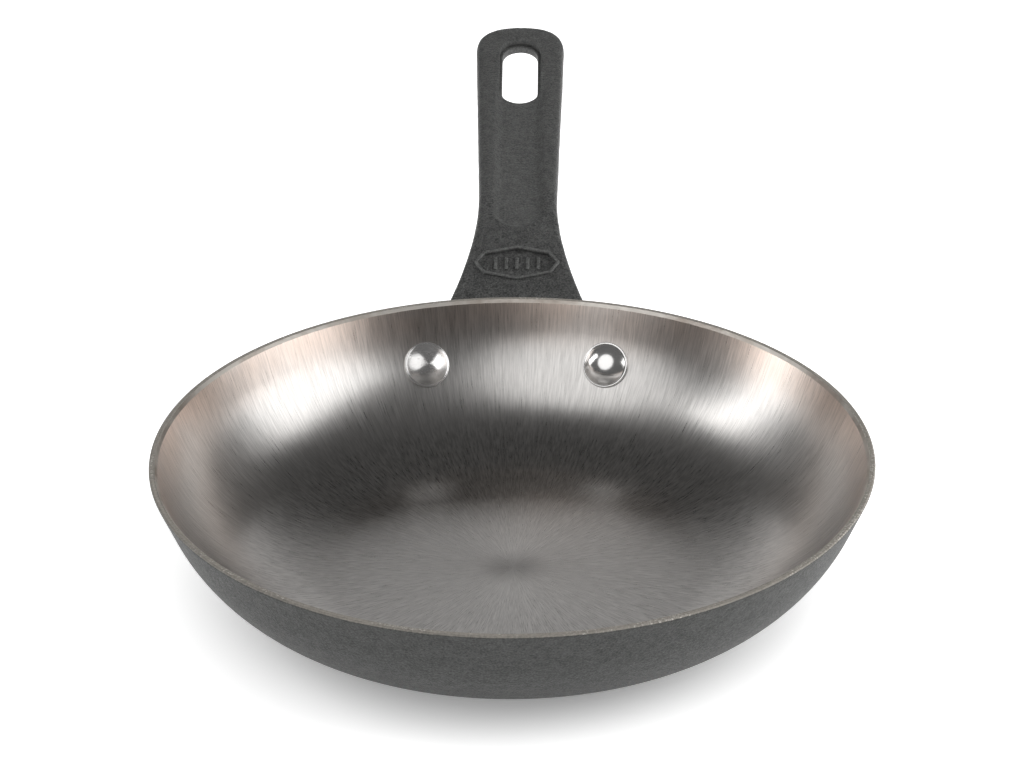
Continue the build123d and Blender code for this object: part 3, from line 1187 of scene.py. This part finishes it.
@dataclass(frozen=True)
class PanelPlan:
    """The eight-sided panel on the flare, flat, with u across the arm and v along it.

    Args:
        centre_y: where its middle is along the handle.
        slope: the arm's slope there, in radians.
        half_width: half its width.
        half_length: half its length along the arm.
        shoulder_u: how far out its four slanting corners are.
        shoulder_v: how far along they are.
        border: width of its raised border.
        border_rise: height of the border over the arm.
        depth: how far the ground inside the border is sunk.
        softening: radius of its corners.
    """

    centre_y: float = 122.6 * MM
    slope: float = math.radians(26.0)
    half_width: float = 13.8 * MM
    half_length: float = 7.4 * MM
    shoulder_u: float = 10.8 * MM
    shoulder_v: float = 4.7 * MM
    border: float = 1.1 * MM
    border_rise: float = 0.8 * MM
    depth: float = 0.55 * MM
    softening: float = 1.3 * MM

    def corners(self) -> np.ndarray:
        """The eight corners, anticlockwise from the right.

        Returns:
            An array of (u, v) rows.
        """
        u, v = self.shoulder_u, self.shoulder_v
        half = [(self.half_width, 0), (u, v), (0, self.half_length), (-u, v)]
        return np.array(half + [(-x, -y) for x, y in half])

    def inside(self, u: np.ndarray, v: np.ndarray) -> np.ndarray:
        """How far points are inside the panel's nearest side.

        Args:
            u: places across the arm.
            v: places along it.

        Returns:
            The distances; negative is outside.
        """
        corners = self.corners()
        nearest = np.full(u.shape, 1.0)
        for (u0, v0), (u1, v1) in zip(corners, np.roll(corners, -1, axis=0)):
            length = math.hypot(u1 - u0, v1 - v0)
            nearest = np.minimum(nearest, ((u1 - u0) * (v - v0) - (v1 - v0) * (u - u0)) / length)
        return nearest

    def outline(self) -> np.ndarray:
        """The panel's outline.

        Returns:
            A closed loop of (u, v) rows with softened corners.
        """
        corners = self.corners()
        start = Corner(*(corners[0] + corners[-1]) / 2)
        rounded = [Corner(u, v, self.softening) for u, v in corners]
        return rounded_outline([start, *rounded, start], 0.2, 0.8 * MM).points[:-1]


@dataclass(frozen=True)
class RibPlan:
    """The row of plain ribs in the panel's middle.

    Args:
        count: number of ribs.
        pitch: distance from one to the next.
        half_width: half a rib's width.
        half_length: half its length.
    """

    count: int = 5
    pitch: float = 3.4 * MM
    half_width: float = 0.6 * MM
    half_length: float = 2.75 * MM

    def outline(self, index: int) -> np.ndarray:
        """One rib's outline.

        Args:
            index: which rib, from 0 at the left.

        Returns:
            A closed loop of (u, v) rows.
        """
        middle = (index - (self.count - 1) / 2) * self.pitch
        u, v, soft = self.half_width, self.half_length, 0.96 * self.half_width
        corners = [Corner(middle + x, y, soft) for x, y in ((u, v), (-u, v), (-u, -v), (u, -v))]
        start = Corner(middle + u, 0)
        return rounded_outline([start, *corners, start], 0.3, 1 * MM).points[:-1]


def inset_loop(loop: np.ndarray, inset: float) -> np.ndarray:
    """Moves a closed flat loop inwards.

    Args:
        loop: its points, anticlockwise.
        inset: how far to move them.

    Returns:
        The moved points.
    """
    along = np.roll(loop, -1, axis=0) - np.roll(loop, 1, axis=0)
    along /= np.linalg.norm(along, axis=1)[:, None]
    return loop + inset * np.stack([-along[:, 1], along[:, 0]], axis=-1)


@dataclass
class PanelTrim:
    """The panel's raised border and ribs, cast with the handle.

    Args:
        line: the arm from the side, which they lie on.
        panel: the panel's plan.
        ribs: the ribs' plan.
        finish: its material, a lighter copy of the handle's coating as painted light.
    """

    line: ArmLine
    panel: PanelPlan
    ribs: RibPlan
    finish: bpy.types.Material

    def raised_piece(
        self, name: str, outline: np.ndarray, profile: list, ring: bool
    ) -> bpy.types.Object:
        """A raised shape that follows the arm.

        Args:
            name: the piece's name.
            outline: a closed flat loop of u and v.
            profile: pairs of inset and rise in millimetres, one for each loop of vertices.
            ring: True to join the last loop to the first, False to close it with flat faces.

        Returns:
            The piece.
        """
        loops = []
        for inset, rise in profile:
            u, v = inset_loop(outline, inset * MM).T
            y = self.panel.centre_y + v * math.cos(self.panel.slope)
            loops.append(self.line.raised(u, y, rise * MM))
        piece = stacked_mesh(name, loops, ring)
        piece.data.materials.append(self.finish)
        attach(piece, BODY)
        return piece

    def build(self) -> list[bpy.types.Object]:
        """Builds, dresses and places the border and the ribs.

        Returns:
            The finished pieces.
        """
        rise, width = self.panel.border_rise / MM, self.panel.border / MM
        outer = [(0, -0.9), (0, 0.12), (0.1, rise - 0.1), (0.3, rise)]
        inner = [(width - inset, height) for inset, height in outer[::-1]]
        pieces = [self.raised_piece("panel_border", self.panel.outline(), outer + inner, True)]
        bar = [(0, -0.9), (0, -0.2), (0.08, 0.0), (0.25, 0.1)]
        for index in range(self.ribs.count):
            outline = self.ribs.outline(index)
            pieces.append(self.raised_piece(f"panel_rib_{index + 1}", outline, bar, False))
        return pieces


def edge_drop(distance: np.ndarray, radius: float) -> np.ndarray:
    """How far a surface falls away near an edge that is rounded with a radius."""
    inside = np.clip(radius - distance, 0, radius)
    return radius - np.sqrt(np.clip(radius**2 - inside**2, 0, None))


@dataclass
class Handle:
    """The handle casting: saddle flange, flared root, grip with a scoop, and hang hole.

    Args:
        section: the pan's section, which the flange fits.
        line: the arm from the side.
        plan: the arm from above.
        panel: the panel that is sunk into its flare.
        finish: its material.
        top_z: height of its highest point.
        root_thickness: thickness of the arm up to the bend.
        tip_thickness: its thickness at the end.
        upper_round: radius of the upper edges.
        lower_round: radius of the lower edges.
        flange_thickness: thickness of the saddle on the pan's wall.
        flange_top: height of its upper edge.
        flange_bottom: height of its lower edge.
        flange_corners: corners of its outline from behind.
        hole_near: near end of the hang hole.
        hole_far: its far end.
        hole_width: its width at the top.
        hole_step: how far the step inside it stands in.
        hole_step_depth: depth of that step under the top.
        hole_reach: how far the hole is cut down from the top.
        chamfer: size of the hole's small chamfers.
        hollow_near: near end of the hollow under the grip.
        hollow_far: its far end.
        hollow_half_width: half its width.
        hollow_roof: thickness of iron left over it.
        hollow_reach: how far down from the top it is cut.
        scoop_near: near end of the thumb scoop.
        scoop_far: its far end.
        scoop_half_width: half its width.
        scoop_depth: its depth.
        waves: waves per metre and height in millimetres of the skin's unevenness.
        voxel: size of the mesh's faces.
    """

    section: PanSection
    line: ArmLine
    plan: ArmPlan
    panel: PanelPlan
    finish: bpy.types.Material
    top_z: float
    root_thickness: float = 7.0 * MM
    tip_thickness: float = 4.8 * MM
    upper_round: float = 2.4 * MM
    lower_round: float = 1.2 * MM
    flange_thickness: float = 4.5 * MM
    flange_top: float = 37.5 * MM
    flange_bottom: float = 11.5 * MM
    flange_corners: tuple = (
        Corner(-24.0 * MM, 38.5 * MM),
        Corner(24.0 * MM, 38.5 * MM),
        Corner(38.0 * MM, 25.0 * MM, 9.0 * MM),
        Corner(32.0 * MM, 11.5 * MM, 9.0 * MM),
        Corner(-32.0 * MM, 11.5 * MM),
    )
    hole_near: float = 204.9 * MM
    hole_far: float = 239.2 * MM
    hole_width: float = 14.0 * MM
    hole_step: float = 1.0 * MM
    hole_step_depth: float = 2.4 * MM
    hole_reach: float = 9.0 * MM
    chamfer: float = 0.25 * MM
    hollow_near: float = 118.0 * MM
    hollow_far: float = 196.0 * MM
    hollow_half_width: float = 8.2 * MM
    hollow_roof: float = 3.4 * MM
    hollow_reach: float = 14.0 * MM
    scoop_near: float = 137.7 * MM
    scoop_far: float = 226.0 * MM
    scoop_half_width: float = 8.8 * MM
    scoop_depth: float = 1.8 * MM
    waves: tuple = ((160.0, 0.07), (420.0, 0.035))
    voxel: float = 0.5 * MM

    def thickness(self, y: np.ndarray) -> np.ndarray:
        """The arm's thickness, which falls evenly along the grip.

        Args:
            y: places along the handle.

        Returns:
            The thickness at each place.
        """
        corner_y, _ = self.line.corner()
        share = np.clip((y - corner_y) / (self.line.tip_y - corner_y), 0, 1)
        return self.root_thickness + (self.tip_thickness - self.root_thickness) * share

    def on_arm(self, x: np.ndarray, y: np.ndarray, depth: np.ndarray) -> np.ndarray:
        """Points at a depth under the arm's top, measured square to it."""
        height, slope = self.line.at(y)
        return np.stack([x, y, height - depth / np.cos(slope)], axis=-1)

    def arm_blank(self) -> bpy.types.Object:
        """The arm with rounded edges, before anything is cut into it.

        Returns:
            The arm as a closed mesh.
        """
        y = self.plan.stations(1 * MM)[:, None]
        across = np.sin(np.linspace(-math.pi / 2, math.pi / 2, 45))[None, :]
        x = self.plan.half_width(y) * across
        y = np.broadcast_to(y, x.shape)
        distance = self.plan.edge_distance(x, y)
        top = self.on_arm(x, y, edge_drop(distance, self.upper_round))
        under = self.thickness(y) - edge_drop(distance, self.lower_round)
        return slab_mesh("arm", top, self.on_arm(x, y, under))

    def flange_blank(self) -> bpy.types.Object:
        """The saddle that lies on the pan's wall, with rounded edges.

        Returns:
            The flange as a closed mesh.
        """
        outline = rounded_outline(list(self.flange_corners), math.radians(6), 1 * MM).points
        right = outline[outline[:, 0] > 0]
        order = np.argsort(right[:, 1])
        height = np.linspace(self.flange_bottom + 0.05 * MM, self.flange_top, 44)[:, None]
        half_width = np.interp(height, right[order, 1], right[order, 0])
        across = np.sin(np.linspace(-math.pi / 2, math.pi / 2, 61))[None, :]
        x = half_width * across
        height = np.broadcast_to(height, x.shape)
        sides = np.hypot(np.abs(x).ravel()[:, None] - right[:, 0], height.ravel()[:, None] - right[:, 1])
        top_edge = (self.flange_top - height).ravel()
        distance = np.minimum(sides.min(axis=1), top_edge).reshape(x.shape)
        thickness = self.flange_thickness - edge_drop(distance, self.upper_round)
        back = self.on_wall(x, height, np.zeros_like(thickness))
        return slab_mesh("flange", self.on_wall(x, height, thickness), back)

    def on_wall(self, x: np.ndarray, height: np.ndarray, offset: np.ndarray) -> np.ndarray:
        """Points on the back of the pan's wall, moved out from it.

        Args:
            x: places across the handle.
            height: heights on the wall.
            offset: how far the points stand out from the wall.

        Returns:
            An array of points.
        """
        base_radius, _ = self.section.outside_at(height)
        radius, moved_height = self.section.outside_at(height, offset)
        angle = np.arcsin(x / base_radius)
        return np.stack([radius * np.sin(angle), radius * np.cos(angle), moved_height], axis=-1)

    def obround(self, name: str, ends: tuple, steps: list) -> bpy.types.Object:
        """A cutter with straight sides and round ends that follows the arm's slope.

        Args:
            name: the cutter's name.
            ends: places of its near and far end along the handle where it is widest.
            steps: pairs of rise over the arm's top and half width, from below upwards.

        Returns:
            The cutter.
        """
        turn = np.linspace(0, math.pi, 33)
        angle = np.concatenate([turn, turn + math.pi])
        widest = max(half_width for _, half_width in steps)
        middle = np.where(np.arange(len(angle)) < len(turn), ends[1] - widest, ends[0] + widest)
        layers = []
        for rise, half_width in steps:
            x, y = half_width * np.cos(angle), middle + half_width * np.sin(angle)
            layers.append(self.line.raised(x, y, rise))
        return stacked_mesh(name, layers)

    def inside_pan(self) -> bpy.types.Object:
        """A solid of the pan's outside shape, which the arm is cut with."""
        corners = [*self.section.outer_corners(), Corner(0, self.section.rim_height)]
        return spun_mesh("pan_cutter", rounded_outline(corners, math.radians(2), 6 * MM).points, 360)

    def casting(self) -> bpy.types.Object:
        """Arm and flange as one mesh of even small faces, with soft cast edges.

        Returns:
            The casting, before its openings are cut.
        """
        arm = self.arm_blank()
        cut_away(arm, self.inside_pan())
        flange = self.flange_blank()
        joined = bmesh.new()
        joined.from_mesh(arm.data)
        joined.from_mesh(flange.data)
        joined.to_mesh(arm.data)
        joined.free()
        bpy.data.objects.remove(flange)
        remesh = arm.modifiers.new("even", "REMESH")
        remesh.mode = "VOXEL"
        remesh.voxel_size = self.voxel
        apply_modifiers(arm)
        arm.name = "handle_casting"
        smoothed(arm, 3)
        return arm

    def cut_openings(self, casting: bpy.types.Object) -> None:
        """Cuts the hang hole and the hollow under the grip, with small chamfers.

        Args:
            casting: the handle's mesh, which is changed.
        """
        mouth, soft = self.hole_width / 2, self.chamfer
        throat, step = mouth - self.hole_step, -self.hole_step_depth
        hole = [
            (-self.hole_reach, throat),
            (step - soft, throat),
            (step, throat + soft),
            (step + 0.05 * MM, mouth),
            (-soft, mouth),
            (soft, mouth + 2 * soft),
        ]
        ends = (self.hole_near - 2 * soft, self.hole_far + 2 * soft)
        cut_away(casting, self.obround("hang_hole", ends, hole))
        width, roof = self.hollow_half_width, -self.hollow_roof
        foot = (-self.hollow_reach, width + 1 * MM)
        hollow = [foot, (roof - 1 * MM, width), (roof, width - 0.8 * MM)]
        cut_away(casting, self.obround("hollow", (self.hollow_near, self.hollow_far), hollow))
        casting.data.set_sharp_from_angle(angle=math.radians(28))

    def relief(self, casting: bpy.types.Object) -> None:
        """Presses the thumb scoop and the panel into the top, and makes the skin uneven.

        Args:
            casting: the handle's mesh, which is changed.
        """
        points = vertex_values(casting, VertexLayer.POINT)
        facing = vertex_values(casting, VertexLayer.NORMAL)
        x, y = points[:, 0], points[:, 1]
        height, slope = self.line.at(y)
        depth = (height - points[:, 2]) * np.cos(slope)
        up = facing[:, 2] * np.cos(slope) - facing[:, 1] * np.sin(slope)
        top = smooth_step(up, 0.3, 0.8) * smooth_step(depth, 3 * MM, 1.5 * MM)
        near, far = self.scoop_near + self.scoop_half_width, self.scoop_far - self.scoop_half_width
        from_line = np.hypot(x, y - np.clip(y, near, far)) / self.scoop_half_width
        scoop = self.scoop_depth * smooth_step(from_line, 1.0, 0.6)
        scoop *= smooth_step(y, self.hole_near + 16 * MM, self.hole_near - 4 * MM)
        inside = self.panel.inside(x, (y - self.panel.centre_y) / math.cos(self.panel.slope))
        sunk = self.panel.depth * smooth_step(inside, 0.3 * self.panel.border, self.panel.border)
        points[:, 2] -= top * (scoop + sunk)
        places = list(map(Vector, points))
        waves = [sum(noise.noise(p * rate) * size for rate, size in self.waves) for p in places]
        points += facing * np.array(waves)[:, None] * MM
        set_coordinates(casting, np.clip(points, None, (1, self.plan.tip_y, self.top_z)))

    def build(self) -> bpy.types.Object:
        """Builds, dresses and places the handle.

        Returns:
            The finished piece.
        """
        casting = self.casting()
        self.relief(casting)
        casting.data.shade_smooth()
        self.cut_openings(casting)
        casting.data.materials.clear()
        casting.data.materials.append(self.finish)
        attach(casting, BODY)
        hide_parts("handle")
        return casting


# --- The rivets ---


@dataclass
class Rivet:
    """One solid rivet: domed head inside the pan, shank, upset tail behind the flange.

    Args:
        side: left or right.
        section: the pan's section, which the rivet goes through.
        finish: its steel.
        groups: the shared shader groups.
        azimuth: how far round the pan it sits from the handle's middle, in radians.
        dip: how far its axis tips from level, in radians.
        head_radius: radius of the head.
        head_height: height of the head over the wall.
        brim_height: height of the head's upright edge.
        brim_width: width of the flat between that edge and the dome.
        head_root: how far the head reaches into the wall.
        shank_radius: radius of the shank.
        tail_radius: radius of the tail behind the flange.
        tail_height: thickness of the tail.
        tail_root: how far the tail reaches into the flange.
        flange_thickness: thickness of the flange it holds.
    """

    side: Side
    section: PanSection
    finish: PolishedSteel
    groups: ShaderGroups
    azimuth: float = math.radians(17.3)
    dip: float = math.radians(34.0)
    head_radius: float = 7.15 * MM
    head_height: float = 3.5 * MM
    brim_height: float = 1.1 * MM
    brim_width: float = 0.6 * MM
    head_root: float = 0.4 * MM
    shank_radius: float = 3.0 * MM
    tail_radius: float = 5.0 * MM
    tail_height: float = 2.2 * MM
    tail_root: float = 0.3 * MM
    flange_thickness: float = 4.5 * MM

    def seat(self) -> tuple[float, float]:
        """Finds the middle of the head on the inside bowl curve.

        Returns:
            Its radius and height.
        """
        radius, height = self.section.inner_centre()
        reach = self.section.inner_bowl
        return radius + reach * math.cos(self.dip), height - reach * math.sin(self.dip)

    def grip(self) -> float:
        """Measures the shank.

        Returns:
            Its length between the inside wall and the flange's outer face.
        """
        seat_radius, seat_height = self.seat()
        radius, height = self.section.outer_centre()
        outwards, up = seat_radius - radius, seat_height - height
        along = outwards * math.cos(self.dip) - up * math.sin(self.dip)
        beside = outwards * math.sin(self.dip) + up * math.cos(self.dip)
        reach = self.section.outer_bowl + self.flange_thickness
        return math.sqrt(reach**2 - beside**2) - along

    def placement(self) -> Matrix:
        """Finds where the rivet goes.

        Returns:
            The matrix that puts its local Z along its axis, into the pan, at its seat.
        """
        radius, height = self.seat()
        azimuth = self.azimuth * self.side.value
        outwards = Vector((math.sin(azimuth), math.cos(azimuth), 0))
        axis = Vector((0, 0, math.sin(self.dip))) - outwards * math.cos(self.dip)
        turn = Vector((0, 0, 1)).rotation_difference(axis).to_matrix().to_4x4()
        return Matrix.Translation(outwards * radius + Vector((0, 0, height))) @ turn

    def corners(self) -> list[Corner]:
        """Corners of the section, from the tail's middle to the foot of the dome.

        Returns:
            The corners.
        """
        grip, small = self.grip(), 0.1 * MM
        tail_end, tail_face = -grip - self.tail_height, -grip + self.tail_root
        return [
            Corner(0, tail_end),
            Corner(self.tail_radius, tail_end, 0.9 * MM),
            Corner(self.tail_radius, tail_face, small),
            Corner(self.shank_radius, tail_face, small),
            Corner(self.shank_radius, -self.head_root, small),
            Corner(self.head_radius, -self.head_root, small),
            Corner(self.head_radius, self.brim_height, 0.3 * MM),
            Corner(self.head_radius - self.brim_width, self.brim_height),
        ]

    def outline(self) -> np.ndarray:
        """The whole section: the corners and then the dome's curve up to the axis.

        Returns:
            Its (radius, height) rows.
        """
        below = rounded_outline(self.corners(), math.radians(12), 1.5 * MM).points
        foot = self.head_radius - self.brim_width
        rise = self.head_height - self.brim_height
        reach = (foot**2 + rise**2) / (2 * rise)
        angles = np.linspace(math.asin(foot / reach), 0, 22)[1:]
        height = self.head_height - reach * (1 - np.cos(angles))
        return np.vstack([below, np.stack([reach * np.sin(angles), height], axis=-1)])

    def build(self) -> bpy.types.Object:
        """Builds, dresses and places the rivet.

        Returns:
            The finished piece.
        """
        name = self.side.name.lower()
        rivet = spun_mesh(f"rivet_{name}_head_and_tail", self.outline(), 96)
        rivet.matrix_world = self.placement()
        rivet.data.materials.append(self.finish.material(self.groups))
        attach(rivet, BODY)
        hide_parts(f"rivet_{name}")
        return rivet


# --- The studio ---


@dataclass(frozen=True)
class SoftLight:
    """One soft light that looks at the pan.

    Args:
        name: the light's name.
        azimuth: its direction from the pan in degrees; 0 is along the handle, 90 to the right.
        elevation: its height over the floor, in degrees.
        distance: how far it stands from the pan.
        width: its width.
        height: its height.
        radiance: how bright its face is.
        shape: outline of its face.
        in_reflections: whether shiny surfaces show it.
    """

    name: str
    azimuth: float
    elevation: float
    distance: float
    width: float
    height: float
    radiance: float
    shape: LightShape = LightShape.RECTANGLE
    in_reflections: bool = True

    def build(self) -> bpy.types.Object:
        """Builds and aims the light.

        Returns:
            The light's object.
        """
        data = bpy.data.lights.new(self.name, "AREA")
        data.shape = self.shape.value
        data.size, data.size_y = self.width, self.height
        area = self.width * self.height * (math.pi / 4 if self.shape is LightShape.ELLIPSE else 1)
        data.energy = self.radiance * math.pi * area
        azimuth, elevation = math.radians(self.azimuth), math.radians(self.elevation)
        flat = math.cos(elevation)
        direction = Vector((flat * math.sin(azimuth), flat * math.cos(azimuth), math.sin(elevation)))
        lamp = bpy.data.objects.new(self.name, data)
        lamp.matrix_world = Matrix.Translation(direction * self.distance) @ facing(direction)
        lamp.visible_glossy = self.in_reflections
        bpy.context.scene.collection.objects.link(lamp)
        return lamp


def facing(direction: Vector) -> Matrix:
    """Turns a light so that it looks back at the pan, upright.

    Args:
        direction: where the light stands, as seen from the pan.

    Returns:
        The rotation.
    """
    back = direction.normalized()
    right = Vector((0, 0, 1)).cross(back).normalized()
    up = back.cross(right)
    return Matrix((right, up, back)).transposed().to_4x4()


@dataclass
class Studio:
    """Pale floor, soft lights and the camera.

    Args:
        floor_glow: how much the white table shines by itself.
        painted_shadow_glow: how much it shines close to the pan, dimmer there as a painted shadow.
        glow_near: distance from the pan's axis where that painted shadow's darkest part ends.
        glow_far: distance where the glow is full.
        sky: brightness of the room.
        lens: focal length of the camera, in millimetres.
        camera_place: where the camera stands.
        yaw: its turn about the upright axis, in degrees.
        dip: how far it looks down, in degrees.
        roll: its tilt to one side, in degrees.
        table_reach: distance from the table's middle to its edges.
        table_gap: gap between the table and the pan's base.
        lights: the soft lights.
    """

    floor_glow: float = 0.72
    painted_shadow_glow: float = 0.25
    glow_near: float = 62 * MM
    glow_far: float = 112 * MM
    sky: float = 0.06
    lens: float = 128.1
    camera_place: tuple = (0.01505, -0.92895, 0.5308)
    yaw: float = 0.92
    dip: float = 26.7
    roll: float = -0.4
    table_reach: float = 6.0
    table_gap: float = 0.05 * MM
    lights: tuple = (
        SoftLight("right_softbox", 97, 28, 1.2, 1.00, 0.74, 2.3),
        SoftLight("left_softbox", -83, 26, 1.2, 0.28, 0.95, 3.7),
        SoftLight("front_left_octabox", -150, 50, 1.2, 1.25, 1.30, 1.3, LightShape.ELLIPSE),
        SoftLight("right_low_strip", 84, 8, 1.2, 0.90, 0.22, 0.7),
        SoftLight("left_low_strip", -86, 8, 1.2, 0.90, 0.22, 0.7),
        SoftLight("back_panel", -2, 23, 1.6, 1.50, 0.52, 0.75),
        SoftLight("right_fill", 80, 46, 1.4, 1.7, 1.7, 1.45, in_reflections=False),
    )

    def build_camera(self) -> None:
        """Places the camera in front of the pan, a little to the right, looking down."""
        data = bpy.data.cameras.new("camera")
        data.lens = self.lens
        data.sensor_width = 36.0
        data.clip_end = 20.0
        camera = bpy.data.objects.new("camera", data)
        place = Matrix.Translation(self.camera_place)
        for degrees, axis in ((self.yaw, "Z"), (90 - self.dip, "X"), (self.roll, "Z")):
            place = place @ Matrix.Rotation(math.radians(degrees), 4, axis)
        camera.matrix_world = place
        bpy.context.scene.collection.objects.link(camera)
        bpy.context.scene.camera = camera

    def build_floor(self) -> None:
        """Lays a wide white table under the pan, its glow dimmed close to the pan as a painted shadow.
        """
        reach, low = self.table_reach, -self.table_gap
        square = ((-reach, -reach), (reach, -reach), (reach, reach), (-reach, reach))
        floor = mesh_object("floor", np.array([(x, y, low) for x, y in square]), [[0, 1, 2, 3]])
        graph, shader, place = start_material("white_table")
        radius = graph.node("ShaderNodeVectorMath", {0: place}, operation="LENGTH").outputs["Value"]
        # Painted shadow: the table's glow is dimmed close to the pan.
        glow = graph.span(radius, self.glow_near, self.glow_far, self.painted_shadow_glow, self.floor_glow)
        looks = {
            "Emission Color": graph.scaled((1, 1, 1), glow),
            "Emission Strength": 1.0,
            "Base Color": (0.95, 0.95, 0.95, 1),
            "Roughness": 0.9,
            "Specular IOR Level": 0.0,
        }
        graph.feed(shader, looks)
        floor.data.materials.append(graph.material)

    def build_room(self) -> None:
        """Sets an even grey room round the table."""
        world = bpy.data.worlds.new("room")
        world.use_nodes = True
        background = next(n for n in world.node_tree.nodes if n.type == "BACKGROUND")
        background.inputs["Color"].default_value = (1, 1, 1, 1)
        background.inputs["Strength"].default_value = self.sky
        bpy.context.scene.world = world

    def build(self) -> None:
        """Builds the camera, the floor, the room and the lights."""
        self.build_camera()
        self.build_floor()
        self.build_room()
        for light in self.lights:
            light.build()
        bpy.context.scene.view_settings.view_transform = "Standard"


def main() -> None:
    """Builds the pan piece by piece and reports each one."""
    logging.basicConfig(level=logging.INFO, format="%(name)s: %(message)s")
    Studio().build()
    groups = ShaderGroups()
    section = PanSection.from_frame()
    _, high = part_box("handle")
    line, panel = ArmLine(high.y), PanelPlan()
    # Painted light: the handle's coating is a lighter copy of the pan outside's, for the stronger light
    # on it.
    dark, light = (0.028, 0.029, 0.028, 1), (0.091, 0.092, 0.089, 1)
    handle_iron = CoatedIron("handle_iron", dark, light, depth=0.4 * MM, shine=0.7, zones=GrainZones())
    # Painted light: the raised border and ribs take a lighter copy of the handle's coating, for the
    # light their raised faces catch.
    dark, light = (0.037, 0.038, 0.037, 1), (0.138, 0.140, 0.135, 1)
    raised_iron = CoatedIron("raised_iron", dark, light, depth=0.3 * MM, shine=0.8).material(groups)
    pieces = [
        Pan(section, groups).build(),
        Handle(section, line, ArmPlan(high.y), panel, handle_iron.material(groups), high.z).build(),
        *PanelTrim(line, panel, RibPlan(), raised_iron).build(),
        Rivet(Side.LEFT, section, PolishedSteel("turned_steel", 0.22, 1.0, 1.0), groups).build(),
        Rivet(Side.RIGHT, section, PolishedSteel("mirror_steel", 0.16), groups).build(),
    ]
    for piece in pieces:
        LOG.info("%s: %d faces", piece.name, len(piece.data.polygons))


if __name__ == "__main__":
    main()
